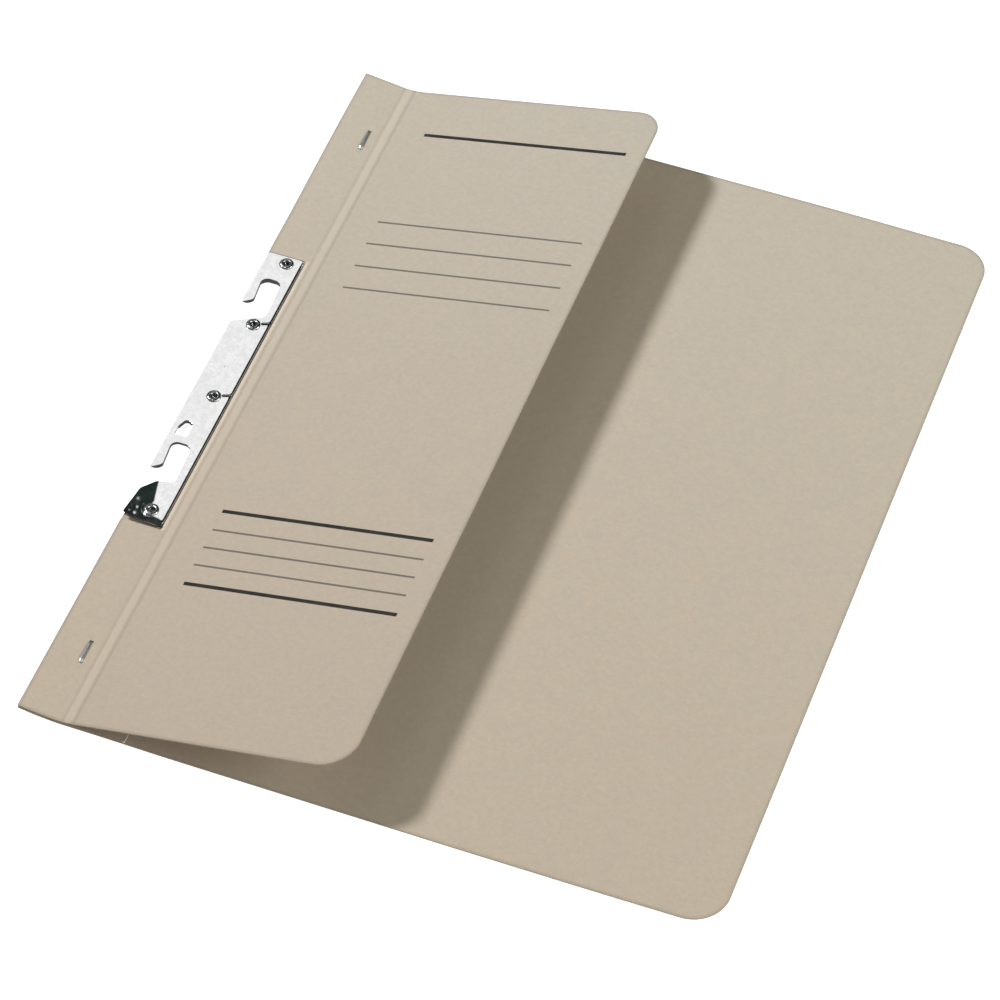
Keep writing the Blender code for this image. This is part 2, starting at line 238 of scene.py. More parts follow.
def plate(
    name,
    loops,
    xs,
    ys,
    top,
    bottom,
    looks,
    rim=0.06,
    steps=2,
    bend=None,
    square=None,
    extra=None,
    longest=5.0,
    margin=0.12,
    sharp=35.0,
    dressed=False,
    border=None,
    edge_outline=None,
):
    """A closed sheet of any outline. loops holds its outline and holes, xs and ys the grid lines whose crossings become
    points, top and bottom its two heights, rim the radius of its edges. bend carries the flat sheet to its place. At
    x = square the edge stays square, so that a second sheet joins it with no line between them. The rounding of a
    dressed edge has the look of the faces, and only its wall the look of the edge. border adds a row of points that
    far inside the outline edge_outline, or the sheet's own; the edge attribute is measured from that outline."""
    loops = [split(loop, xs, ys, longest) for loop in facing(loops)]
    moves = [inward(loop) for loop in loops]
    if square is not None:
        for loop, move in zip(loops, moves):
            move[np.abs(loop[:, 0] - square) < 1e-6, 0] = 0.0
    inner = [loop + rim * move for loop, move in zip(loops, moves)]
    grid = np.array([(x, y) for x in xs for y in ys], float).reshape(-1, 2)
    if extra is not None:
        grid = np.concatenate([grid, np.asarray(extra, float)])
    if border is not None:
        edge_outline = loops[0] if edge_outline is None else split(facing([edge_outline])[0], xs, ys, longest)
        row = edge_outline + border * inward(edge_outline)
        row = row[clearance(row, [edge_outline], square) > 0.9 * border]
        grid = np.concatenate([grid[np.abs(clearance(grid, [edge_outline], square) - border) > 0.3 * border], row])
    grid = grid[inside(grid, inner)]
    grid = grid[clearance(grid, inner) > margin]
    outline = np.concatenate(inner)
    starts = np.cumsum([0] + [len(loop) for loop in inner])
    sides = [(s + i, s + (i + 1) % len(loop)) for s, loop in zip(starts, inner) for i in range(len(loop))]
    given = np.concatenate([outline, grid])
    points, _, triangles, origin, _, _ = delaunay_2d_cdt([Vector(p) for p in given], sides, [], 0, 1e-7)
    points = np.array([tuple(p) for p in points])
    where = {i: k for k, ids in enumerate(origin) for i in ids}
    triangles = np.array([tuple(t) for t in triangles if len(t) == 3])
    triangles = triangles[inside(points[triangles].mean(1), inner)]
    p0, p1, p2 = (points[triangles[:, k]] for k in range(3))
    d1, d2 = p1 - p0, p2 - p0
    over = d1[:, 0] * d2[:, 1] - d1[:, 1] * d2[:, 0] < 0
    triangles[over] = triangles[over][:, ::-1]

    n = len(points)
    high, low = top(*points.T), bottom(*points.T)
    made = [np.column_stack([points, high]), np.column_stack([points, low])]
    faces = [tuple(t) for t in triangles] + [tuple(t[::-1] + n) for t in triangles]
    indices = [0] * len(triangles) + [1] * len(triangles)
    total = 2 * n
    angles = np.linspace(0, math.pi / 2, steps + 1)[1:]
    for s, loop, move in zip(starts, loops, moves):
        count = len(loop)
        ring = np.array([where[s + i] for i in range(count)])
        flat_high, flat_low = top(*(loop + rim * move).T), bottom(*(loop + rim * move).T)
        rows, kinds = [ring], []
        for a in angles:
            at = loop + rim * (1 - math.sin(a)) * move
            made.append(np.column_stack([at, flat_high - rim * (1 - math.cos(a))]))
            rows.append(np.arange(total, total + count))
            kinds.append(0 if dressed else 2)
            total += count
        kinds.append(2)
        for a in angles[::-1]:
            at = loop + rim * (1 - math.sin(a)) * move
            made.append(np.column_stack([at, flat_low + rim * (1 - math.cos(a))]))
            rows.append(np.arange(total, total + count))
            kinds.append(1 if dressed else 2)
            total += count
        rows.append(ring + n)
        for kind, upper, lower in zip(kinds, rows, rows[1:]):
            for i in range(count):
                j = (i + 1) % count
                faces.append((upper[i], lower[i], lower[j], upper[j]))
                indices.append(kind)
    flat = np.concatenate(made)
    shaped = flat if bend is None else bend(flat)
    indices = np.minimum(indices, len(looks) - 1)
    edge = None
    if border is not None:
        edge = np.clip(clearance(flat[:, :2], [edge_outline], square) / border, 0.0, 1.0)
    return finished(name, shaped, faces, looks, indices, flat, edge, sharp)


class Path:
    """A bent line through corners (a, b, radius): where it is, and which way is left of it, at each length along it."""

    def __init__(self, corners, step=10.0):
        points, count = [], len(corners)
        for i, (x, y, r) in enumerate(corners):
            at = Vector((x, y))
            if r <= 0 or i in (0, count - 1):
                points.append((x, y))
                continue
            a = (Vector(corners[i - 1][:2]) - at).normalized()
            b = (Vector(corners[i + 1][:2]) - at).normalized()
            half = a.angle(b) / 2
            centre = at + (a + b).normalized() * (r / math.sin(half))
            first = at + a * (r / math.tan(half)) - centre
            last = at + b * (r / math.tan(half)) - centre
            turn = math.atan2(first.x * last.y - first.y * last.x, first.dot(last))
            steps = max(2, math.ceil(abs(math.degrees(turn)) / step))
            for k in range(steps + 1):
                c, s = math.cos(turn * k / steps), math.sin(turn * k / steps)
                points.append((centre.x + c * first.x - s * first.y, centre.y + s * first.x + c * first.y))
        self.points = np.array(points)
        d = np.diff(self.points, axis=0)
        lengths = np.hypot(*d.T)
        self.u = np.concatenate([[0.0], np.cumsum(lengths)])
        self.length = float(self.u[-1])
        t = d / lengths[:, None]
        t = np.concatenate([t[:1], t[:-1] + t[1:], t[-1:]])
        t /= np.linalg.norm(t, axis=1, keepdims=True)
        self.left = np.stack([-t[:, 1], t[:, 0]], 1)

    def at(self, u, off):
        """Points at length u along the line and off to its left."""
        a = [np.interp(u, self.u, self.points[:, k]) for k in (0, 1)]
        n = np.stack([np.interp(u, self.u, self.left[:, k]) for k in (0, 1)], 1)
        n /= np.linalg.norm(n, axis=1, keepdims=True)
        return a[0] + off * n[:, 0], a[1] + off * n[:, 1]


def turned(name, profile, x, y, looks, count=56, shape=None, sharp=42.0):
    """A solid turned about a vertical axis at x, y from (radius, z) points, top centre to bottom centre."""
    angles = np.linspace(0, 2 * math.pi, count, endpoint=False)
    points, faces = [(x, y, profile[0][1])], []
    for r, z in profile[1:-1]:
        dr, dz = shape(angles, r, z) if shape else (np.zeros(count), np.zeros(count))
        points += [(x + (r + a) * math.cos(t), y + (r + a) * math.sin(t), z + b) for t, a, b in zip(angles, dr, dz)]
    points.append((x, y, profile[-1][1]))
    rings = len(profile) - 2
    for i in range(count):
        j = (i + 1) % count
        faces.append((0, 1 + i, 1 + j))
        for k in range(rings - 1):
            a, b = 1 + k * count, 1 + (k + 1) * count
            faces.append((a + i, b + i, b + j, a + j))
        a = 1 + (rings - 1) * count
        faces.append((a + i, len(points) - 1, a + j))
    return finished(name, points, faces, looks, sharp=sharp)


def drawn_wire(name, path, x, half_width, half_thick, looks, count=20, power=2.3):
    """Flattened wire along a path in the y-z plane, with rounded sides and dressed ends."""
    a = np.linspace(0, 2 * math.pi, count, endpoint=False)
    cx = np.sign(np.cos(a)) * np.abs(np.cos(a)) ** (2 / power)
    cn = np.sign(np.sin(a)) * np.abs(np.sin(a)) ** (2 / power)
    ends = 0.6 * half_thick
    stations = [(0.0, 0.62), (0.3 * ends, 0.86), (ends, 1.0)]
    stations += [(u, 1.0) for u in path.u if ends * 1.4 < u < path.length - ends * 1.4]
    stations += [(path.length - ends, 1.0), (path.length - 0.3 * ends, 0.86), (path.length, 0.62)]
    points, faces = [], []
    for u, scale in stations:
        y, z = path.at(np.full(count, u), half_thick * scale * cn)
        points += list(zip(x - half_width * scale * cx, y, z))
    for k in range(len(stations) - 1):
        p, q = k * count, (k + 1) * count
        for i in range(count):
            j = (i + 1) % count
            faces.append((p + i, q + i, q + j, p + j))
    last = (len(stations) - 1) * count
    faces.append(tuple(range(count)))
    faces.append(tuple(range(last + count - 1, last - 1, -1)))
    made = finished(name, points, faces, looks, sharp=50.0)
    return made


# ---------------------------------------------------------------- materials


class Nodes:
    """A Principled material and short calls for the nodes that feed it."""

    def __init__(self, name, metallic=0.0, roughness=0.5, specular=0.5, colour=(0.8, 0.8, 0.8)):
        self.material = bpy.data.materials.new(name)
        self.material.use_nodes = True
        self.tree = self.material.node_tree
        self.tree.nodes.clear()
        self.out = self.tree.nodes.new("ShaderNodeOutputMaterial")
        self.shader = self.tree.nodes.new("ShaderNodeBsdfPrincipled")
        self.tree.links.new(self.shader.outputs["BSDF"], self.out.inputs["Surface"])
        self.shader.inputs["Metallic"].default_value = metallic
        self.shader.inputs["Roughness"].default_value = roughness
        self.shader.inputs["Specular IOR Level"].default_value = specular
        self.shader.inputs["Base Color"].default_value = (*colour, 1.0)
        self.material.diffuse_color = (*colour, 1.0)

    def node(self, kind, **values):
        made = self.tree.nodes.new(kind)
        for key, value in values.items():
            setattr(made, key, value)
        return made

    def put(self, socket, value):
        if isinstance(value, bpy.types.NodeSocket):
            self.tree.links.new(value, socket)
        else:
            socket.default_value = value

    def named(self, name, output="Fac"):
        return self.node("ShaderNodeAttribute", attribute_name=name).outputs[output]

    def sheet(self):
        return self.node("ShaderNodeAttribute", attribute_name="sheet").outputs["Vector"]

    def object(self):
        return self.node("ShaderNodeTexCoord").outputs["Object"]

    def mapped(self, vector, scale=(1, 1, 1), turn=0.0):
        made = self.node("ShaderNodeMapping")
        self.put(made.inputs["Vector"], vector)
        made.inputs["Scale"].default_value = scale
        made.inputs["Rotation"].default_value = (0, 0, math.radians(turn))
        return made.outputs["Vector"]

    def noise(self, vector, scale, detail=2.0, rough=0.5, distortion=0.0):
        made = self.node("ShaderNodeTexNoise", noise_dimensions="3D")
        self.put(made.inputs["Vector"], vector)
        made.inputs["Scale"].default_value = scale
        made.inputs["Detail"].default_value = detail
        made.inputs["Roughness"].default_value = rough
        made.inputs["Distortion"].default_value = distortion
        return made.outputs["Fac"]

    def cells(self, vector, scale):
        made = self.node("ShaderNodeTexVoronoi", feature="F1")
        self.put(made.inputs["Vector"], vector)
        made.inputs["Scale"].default_value = scale
        return made.outputs["Distance"], made.outputs["Color"]

    def span(self, value, low, high, to_low=0.0, to_high=1.0, kind="LINEAR"):
        made = self.node("ShaderNodeMapRange", clamp=True, interpolation_type=kind)
        for key, v in (("Value", value), ("From Min", low), ("From Max", high), ("To Min", to_low), ("To Max", to_high)):
            self.put(made.inputs[key], v)
        return made.outputs["Result"]

    def math(self, kind, a, b=0.0):
        made = self.node("ShaderNodeMath", operation=kind)
        self.put(made.inputs[0], a)
        self.put(made.inputs[1], b)
        return made.outputs[0]

    def mix(self, factor, a, b, kind="MIX"):
        made = self.node("ShaderNodeMix", data_type="RGBA", blend_type=kind)
        self.put(made.inputs[0], factor)
        for socket, value in ((made.inputs[6], a), (made.inputs[7], b)):
            self.put(socket, value if isinstance(value, bpy.types.NodeSocket) else (*value, 1.0))
        return made.outputs[2]

    def bump(self, height, strength, distance, normal=None):
        made = self.node("ShaderNodeBump")
        made.inputs["Strength"].default_value = strength
        made.inputs["Distance"].default_value = distance
        self.put(made.inputs["Height"], height)
        if normal is not None:
            self.put(made.inputs["Normal"], normal)
        return made.outputs["Normal"]

    def set(self, name, value):
        self.put(self.shader.inputs[name], value)


CARD_RGB = np.array((0.464, 0.379, 0.302))


def card_look(name, scores=()):
    """Unbleached card: an even, finely mottled formation, pulp fibres lying both ways, a few darker flecks and a faint
    tooth. Its cut edges are a little darker. With scores, pairs of x and strength, it has painted shade in each pressed
    crease, painted light on the band between them and a painted highlight beside the rail's window."""
    k = Nodes(name, roughness=0.86, specular=0.25, colour=tuple(CARD_RGB))
    flat = k.sheet()
    cloud = k.noise(flat, 0.11, 3.0, 0.6)
    mottle = k.noise(k.mapped(flat, (1, 1, 1), 31), 0.55, 3.0, 0.6)
    grain = k.noise(flat, 1.9, 3.0, 0.65)
    long_a = k.noise(k.mapped(flat, (0.30, 2.9, 1.0), 24), 1.0, 2.0, 0.5, 0.6)
    long_b = k.noise(k.mapped(flat, (0.34, 3.3, 1.0), -58), 1.0, 2.0, 0.5, 0.6)
    fibre_a = k.span(long_a, 0.60, 0.74, kind="SMOOTHSTEP")
    fibre_b = k.span(long_b, 0.60, 0.74, kind="SMOOTHSTEP")
    fibre = k.math("MAXIMUM", fibre_a, fibre_b)
    distance, shade = k.cells(flat, 0.42)
    near = k.span(distance, 0.05, 0.12, 1.0, 0.0, "SMOOTHSTEP")
    part = k.node("ShaderNodeSeparateColor")
    k.put(part.inputs["Color"], shade)
    fleck = k.math("MULTIPLY", near, k.span(part.outputs["Red"], 0.80, 0.82))

    warm, cool = CARD_RGB * (1.012, 1.0, 0.985), CARD_RGB * (0.988, 0.997, 1.008)
    dark = (0.10, 0.085, 0.065)
    colour = k.mix(k.span(cloud, 0.32, 0.68), tuple(cool * 0.995), tuple(warm * 1.005))
    colour = k.mix(k.span(mottle, 0.30, 0.70, 0.085, 0.0), colour, dark)
    colour = k.mix(k.span(grain, 0.25, 0.75, 0.125, 0.0), colour, dark)
    colour = k.mix(k.math("MULTIPLY", fibre, 0.13), colour, tuple(CARD_RGB * 1.35))
    colour = k.mix(k.math("MULTIPLY", fleck, 0.18), colour, (0.16, 0.12, 0.085))
    colour = k.mix(k.span(k.named("edge"), 0.0, 1.0, 0.28, 0.0, "SMOOTHSTEP"), colour, (0.12, 0.105, 0.08))
    if scores:
        place_x = k.node("ShaderNodeSeparateXYZ")
        k.put(place_x.inputs[0], flat)
        waver = k.span(k.noise(flat, 0.35, 2.0, 0.5), 0.3, 0.7, -0.08, 0.08)
        along = k.math("ADD", place_x.outputs["X"], waver)
        # Painted light: the band between the two scores, which tilts towards the key, is painted lighter.
        rise = k.span(along, SCORE_1 + 0.6, SEAM - 0.6, kind="SMOOTHSTEP")
        fall = k.span(along, CREASE_2 - 1.4, CREASE_2 - 0.6, 1.0, 0.0, "SMOOTHSTEP")
        colour = k.mix(k.math("MULTIPLY", k.math("MULTIPLY", rise, fall), 0.5), colour, tuple(CARD_RGB * 1.10))
        # Painted highlight: a lighter band is painted on the card along the rail's window, standing in for its lit
        # edge.
        lean = k.math("ADD", along, k.math("MULTIPLY", k.math("SUBTRACT", place_x.outputs["Y"], SKEW_Y), SKEW))
        beside = k.math("MULTIPLY", k.span(lean, WINDOW_X1, WINDOW_X1 + 0.5), k.span(lean, WINDOW_X1 + 0.8, WINDOW_X1 + 1.6, 1.0, 0.0))
        ends = k.math("ABSOLUTE", k.math("SUBTRACT", place_x.outputs["Y"], (RAIL_Y0 + RAIL_Y1) / 2))
        half = (RAIL_Y1 - RAIL_Y0) / 2
        beside = k.math("MULTIPLY", beside, k.span(ends, half, half + 1.0, 1.0, 0.0))
        colour = k.mix(beside, colour, tuple(CARD_RGB * 1.24))
        # Painted shade: each pressed crease is painted darker, standing in for the shade that falls in it.
        for x, crease_shade in scores:
            off = k.math("ABSOLUTE", k.math("SUBTRACT", along, x))
            colour = k.mix(k.span(off, 0.10, 0.95, crease_shade, 0.0, "SMOOTHSTEP"), colour, (0.16, 0.13, 0.095))
    k.set("Base Color", colour)
    k.set("Roughness", k.span(grain, 0.2, 0.8, 0.80, 0.93))
    height = k.math("ADD", k.math("MULTIPLY", grain, 0.7), k.math("MULTIPLY", fibre, 0.35))
    height = k.math("ADD", height, k.math("MULTIPLY", mottle, 0.9))
    k.set("Normal", k.bump(height, 0.25, 0.00010))
    return k.material


def cut_look(name, tone, pale=None):
    """The guillotined edge of the card, with the plies of the board running along it. From x = pale on it is light."""
    k = Nodes(name, roughness=0.93, specular=0.2, colour=tuple(CARD_RGB * tone))
    flat = k.sheet()
    ply = k.noise(k.mapped(flat, (0.5, 0.5, 14.0)), 1.0, 2.0, 0.6)
    fray = k.noise(flat, 3.2, 3.0, 0.6)
    colour = k.mix(k.span(ply, 0.3, 0.7), tuple(CARD_RGB * tone * 0.92), tuple(np.minimum(CARD_RGB * tone * 1.10, 1.0)))
    colour = k.mix(k.span(fray, 0.35, 0.65, 0.0, 0.25), colour, tuple(CARD_RGB * tone * 0.72))
    if pale is not None:
        part = k.node("ShaderNodeSeparateXYZ")
        k.put(part.inputs[0], flat)
        colour = k.mix(k.span(part.outputs["X"], pale - 0.5, pale, kind="SMOOTHSTEP"), colour, tuple(CARD_RGB * 1.75))
    k.set("Base Color", colour)
    k.set("Roughness", k.span(fray, 0.2, 0.8, 0.88, 0.97))
    k.set("Normal", k.bump(k.math("ADD", ply, fray), 0.35, 0.00006))
    return k.material


def ink_look(name, rgb):
    """Ruling printed on uncoated card: ink that is thinner where the board's tooth takes less of it."""
    k = Nodes(name, roughness=0.70, specular=0.10, colour=rgb)
    where = k.object()
    thin = k.noise(where, 2600.0, 3.0, 0.6)
    wide = k.noise(where, 240.0, 2.0, 0.5)
    cover = k.math("ADD", k.span(thin, 0.58, 0.78, 0.0, 0.25), k.span(wide, 0.35, 0.75, 0.0, 0.06))
    k.set("Base Color", k.mix(cover, rgb, tuple(CARD_RGB * 0.55)))
    k.set("Roughness", k.span(thin, 0.3, 0.7, 0.62, 0.82))
    k.set("Normal", k.bump(thin, 0.12, 0.00003))
    return k.material


def plated_look(name, rgb, rough, streak=(1.0, 0.05), wear=0.10, mottle=0.06, fleck=0.15):
    """Bright plated steel: rolling lines under the plate, a faint cloud in the gloss, fine scratches and dull spots."""
    k = Nodes(name, metallic=1.0, roughness=rough, colour=rgb)
    where = k.object()
    lines = k.noise(k.mapped(where, (9000.0 * streak[0], 9000.0 * streak[1], 3000.0)), 1.0, 2.0, 0.55)
    scratch = k.noise(k.mapped(where, (700.0, 5200.0, 2000.0), 38), 1.0, 2.0, 0.5, 0.3)
    cloud = k.noise(where, 130.0, 3.0, 0.55)
    spots = k.noise(where, 900.0, 3.0, 0.6)
    scored = k.span(scratch, 0.66, 0.76, kind="SMOOTHSTEP")
    dark = tuple(np.array(rgb) * 0.86)
    colour = k.mix(k.span(cloud, 0.3, 0.7, 0.0, 1.0), tuple(np.array(rgb) * (1.0 - mottle)), rgb)
    colour = k.mix(k.math("MULTIPLY", k.span(spots, 0.62, 0.78), wear * 2.0), colour, dark)
    bloom = k.noise(where, 640.0, 2.0, 0.6)
    colour = k.mix(k.span(bloom, 0.36, 0.64, 0.0, fleck), colour, tuple(np.array(rgb) * (0.80, 0.79, 0.80)))
    k.set("Base Color", colour)
    gloss = k.math("ADD", k.span(cloud, 0.25, 0.75, rough * 0.8, rough * 1.25), k.math("MULTIPLY", scored, wear))
    k.set("Roughness", gloss)
    height = k.math("ADD", k.math("MULTIPLY", lines, 0.5), k.math("MULTIPLY", scored, -0.6))
    k.set("Normal", k.bump(height, 0.10, 0.00003))
    return k.material


def sheared_look(name, rgb, rough):
    """The stamped edge of steel sheet: torn and unplated, with upright shear marks."""
    k = Nodes(name, metallic=1.0, roughness=rough, colour=rgb)
    where = k.object()
    marks = k.noise(k.mapped(where, (5200.0, 5200.0, 500.0)), 1.0, 2.0, 0.6)
    tear = k.noise(where, 1500.0, 2.0, 0.5)
    k.set("Base Color", k.mix(k.span(marks, 0.3, 0.7), tuple(np.array(rgb) * 0.6), tuple(np.array(rgb) * 1.25)))
    k.set("Roughness", k.span(tear, 0.3, 0.7, rough * 0.8, min(1.0, rough * 1.2)))
    k.set("Normal", k.bump(marks, 0.3, 0.00006))
    return k.material


card = card_look("card")
# The front sheet's card, with painted shade in its two creases.
card_scored = card_look("card_scored", ((CREASE_1, 0.11), (CREASE_2, 0.20)))
# Painted shade: the cut edges are painted at 0.55 of the card's tone, darker than the card, standing in for the shade
# on them.
card_cut = cut_look("card_cut_edge", 0.55)
card_cut_pale = cut_look("card_cut_edge_pale", 0.55, INNER_W - 0.5)
ink = ink_look("ruling_ink", (0.022, 0.020, 0.018))
ink_fine = ink_look("ruling_ink_fine", (0.150, 0.128, 0.104))
rail_plate = plated_look("rail_nickel", (0.91, 0.91, 0.905), 0.14, (1.0, 0.05), 0.10, 0.12, 0.65)
# The rail's sheared, unplated edges and slot walls are painted near black, 0.06: painted shade standing in for the
# shade in the walls.
rail_sheared_shade = sheared_look("rail_sheared_edge_painted_shade", (0.060, 0.061, 0.063), 0.50)
rivet_plate = plated_look("rivet_nickel", (0.40, 0.40, 0.405), 0.21, (0.3, 0.3), 0.14)
wire_zinc = plated_look("staple_zinc", (0.50, 0.505, 0.505), 0.40, (0.3, 0.04), 0.16)
tin = plated_look("tinplate", (0.80, 0.79, 0.765), 0.36, (0.05, 1.0), 0.12, 0.09)
tin_edge = sheared_look("tinplate_edge", (0.42, 0.41, 0.39), 0.42)

# ---------------------------------------------------------------- card sheets


LIP_EDGE = [(5.0, 102.9, 2.0), (1.3, 97.4, 2.8), (0.55, 90.0, 3.0)]


def hook_slot(seat):
    return [
        (RAIL_X0, seat - 13.4, 0.45),
        (3.7, seat - 10.8, 1.9),
        (2.7, seat, 2.6),
        (10.0, seat, 2.6),
        (11.0, seat - 17.0, 2.4),
        (RAIL_X0, seat - 22.8, 1.6),
    ]


def card_notch(seat, head_room):
    return [
        (0.0, seat + head_room, 0.0),
        (11.2, seat + head_room, 2.5),
        (12.1, seat - 17.2, 3.0),
        (0.0, seat - 24.2, 0.0),
    ]


spine_notches = card_notch(UPPER_SEAT, 1.0) + card_notch(LOWER_SEAT, 11.4)[:3]
spine_notches += [(4.6, 99.6, 3.0), (2.2, 94.0, 2.0), (0.0, 87.6, 0.0)]
lower_window = [(2.2, 123.9, 0.8), (6.8, 123.9, 1.0), (6.8, 130.2, 1.6), (3.6, 131.6, 1.2), (2.2, 128.0, 1.0)]
rivet_holes = [circle(RIVET_X, y, RIVET_HOLE_R) for y in RIVET_Y]
staple_slits = [slot_outline(STAPLE_X, y + side * STAPLE_REACH, 1.4, 0.60, 0.2) for y in STAPLE_Y for side in (1, -1)]
prong_slits = [slot_outline(PRONG_X, MIDDLE_Y + side * PRONG_ROOT, SLOT_W, SLOT_L, 0.25) for side in (1, -1)]


def level(z):
    return lambda x, y: np.full(np.shape(x), float(z))


def sway(x, y):
    """The slight, slow waviness of a large sheet of card, none of it at the spine."""
    wave = (
        0.55 * np.sin(x / 41.0 + 0.8) * np.sin(y / 57.0 + 0.3)
        + 0.30 * np.sin(x / 23.0 + y / 71.0 + 2.1)
        + 0.15 * np.sin(y / 19.0 - x / 88.0)
    )
    return 0.16 * wave * smooth((x - 24.0) / 40.0)


def curl(x, y):
    """The spine's two free corners, beyond the rail, lifted a little."""
    head = 3.1 * smooth((y - 225.0) / 85.0) * np.clip(1.0 - x / 22.0, 0.0, 1.0)
    foot = 1.8 * smooth((76.0 - y) / 80.0) * np.clip(1.0 - x / 15.0, 0.0, 1.0) ** 1.4
    return head + foot


def drawn_in(x, y):
    """How far the lifted corners move towards the score, their card keeping its length."""
    head, foot = smooth((y - 225.0) / 85.0) ** 2, smooth((76.0 - y) / 80.0)
    return (0.65 * head + 0.70 * foot) * np.clip(1.0 - x / 18.0, 0.0, 1.0)


def lifted(flat):
    x, y, z = flat.T
    return np.column_stack([x + drawn_in(x, y), y, z])


def sag(x, y):
    """The back cover rests on the table away from the spine, where the rivets hold it up. One corner lifts a little."""
    foot = smooth((x - 24.0) / 30.0) * smooth((190.0 - x) / 50.0) * smooth((150.0 - y) / 110.0)
    head = smooth((x - 180.0) / 45.0) * smooth((y - 190.0) / 90.0)
    corner = smooth((x - 180.0) / 60.0) * smooth((70.0 - y) / 75.0)
    return 0.70 * corner - 0.36 * np.maximum(foot, head)


back_outline = [
    (0.0, 0.0, 0.25),
    (SHEET_W, 0.0, CORNER_R + 1.4),
    (SHEET_W, SHEET_H, CORNER_R + 1.0),
    (0.0, SHEET_H, 0.25),
] + spine_notches
coarse_y = np.arange(5.0, SHEET_H, 5.0)
back = plate(
    "back_sheet",
    [rounded(back_outline, 5.0)] + rivet_holes + staple_slits,
    np.concatenate([np.arange(3.0, 20.0, 3.4), np.arange(23.0, SHEET_W, 5.0)]),
    coarse_y,
    lambda x, y: BACK_Z + CARD + sway(x, y) + curl(x, y) + sag(x, y),
    lambda x, y: BACK_Z + sway(x, y) + curl(x, y) + sag(x, y),
    [card, card, card_cut],
    bend=lifted,
    border=1.5,
)
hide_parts("back_cover")
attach(back, "folder_back")

inner_outline = [(0.0, 0.0, 0.2), (INNER_W, 0.0, 0.3), (INNER_W, SHEET_H, 0.3), (0.0, SHEET_H, 0.2)] + spine_notches
inner_strip = plate(
    "binding_strip_sheet",
    [rounded(inner_outline)] + rivet_holes + staple_slits + prong_slits,
    np.arange(3.0, INNER_W, 3.5),
    coarse_y,
    lambda x, y: INNER_Z + CARD + curl(x, y),
    lambda x, y: INNER_Z + curl(x, y),
    [card, card, card_cut_pale],
    rim=0.16,
    steps=3,
    bend=lifted,
    border=1.2,
)
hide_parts("inner_binding_strip")
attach(inner_strip, "folder_back")


def scored(x, y):
    """Height of the pressed scores on the front sheet: each drops sharply on the spine side and rises slowly after."""
    z = np.zeros(np.shape(x))
    for crease, depth in ((CREASE_1, 0.055), (CREASE_2, 0.085)):
        d = x - crease
        z -= depth * np.where(d < 0, np.exp(-((d / 0.30) ** 2)), np.exp(-((d / 0.62) ** 2)))
    return z


def pressed(x, y):
    """The edge of the front sheet along the rail, pressed down round the corner of the die."""
    beside = smooth((y - RAIL_Y0 + WINDOW_GAP + 1.0) / 1.0) * smooth((RAIL_Y1 + WINDOW_GAP + 1.0 - y) / 1.0)
    return -0.15 * np.clip(1.0 - np.abs(x - WINDOW_X1 - SKEW * (SKEW_Y - y)) / 0.8, 0.0, 1.0) ** 2 * beside


def twist(x, y):
    """The cover's slight twist: its fore edge stands a little higher at the head than at the foot."""
    return 0.32 * (y - MIDDLE_Y) / MIDDLE_Y * smooth((x - 24.0) / 92.0)


def front_top(x, y):
    return FRONT_TOP + scored(x, y) + sway(x, y) + curl(x, y) + pressed(x, y) + twist(x, y)


def front_bottom(x, y):
    return FRONT_Z + 0.3 * scored(x, y) + sway(x, y) + curl(x, y) + twist(x, y)


def folded(flat):
    """Turns the flat front sheet up at its two scores, about lines in the upper face of the card."""
    along = flat[:, 0]
    x, z = flat[:, 0] + drawn_in(flat[:, 0], flat[:, 1]), flat[:, 2].copy()
    for score in (SCORE_2, SCORE_1):
        a = HALF_TILT * smooth((along - score + FOLD) / (2 * FOLD))
        dx, dz = x - score, z - FRONT_TOP
        x, z = score + dx * np.cos(a) - dz * np.sin(a), FRONT_TOP + dx * np.sin(a) + dz * np.cos(a)
    return np.column_stack([x, flat[:, 1], z])


near = np.array((0.07, 0.14, 0.21, 0.29, 0.38, 0.48, 0.58, 0.68, 0.78, 0.90, 1.02, 1.15))
across = np.concatenate([-near[::-1], [0.0], near])
front_y = np.arange(4.0, SHEET_H, 4.0)

spine_outline = [
    (0.0, 0.0, 0.2),
    (SEAM, 0.0, 0.0),
    (SEAM, SHEET_H, 0.0),
    (0.0, SHEET_H, 0.2),
    (0.0, RAIL_Y1 + WINDOW_GAP, 0.15),
    (WINDOW_X1 + SKEW * (SKEW_Y - RAIL_Y1), RAIL_Y1 + WINDOW_GAP, 0.8),
    (WINDOW_X1 + SKEW * (SKEW_Y - RAIL_Y0), RAIL_Y0 - WINDOW_GAP, 0.8),
    (0.0, RAIL_Y0 - WINDOW_GAP, 0.15),
]
front_spine = plate(
    "front_sheet_spine",
    [rounded(spine_outline)] + staple_slits,
    np.concatenate([np.arange(2.4, 13.0, 2.4), [14.0], SCORE_1 + across[across > -1.1], [17.25]]),
    front_y,
    front_top,
    front_bottom,
    [card_scored, card_scored, card_cut],
    rim=0.09,
    bend=folded,
    square=SEAM,
    margin=0.04,
    border=1.5,
    edge_outline=np.array([(0.0, 0.0), (SEAM, 0.0), (SEAM, SHEET_H), (0.0, SHEET_H)]),
)
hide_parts("front_spine_strip")
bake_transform(front_spine)

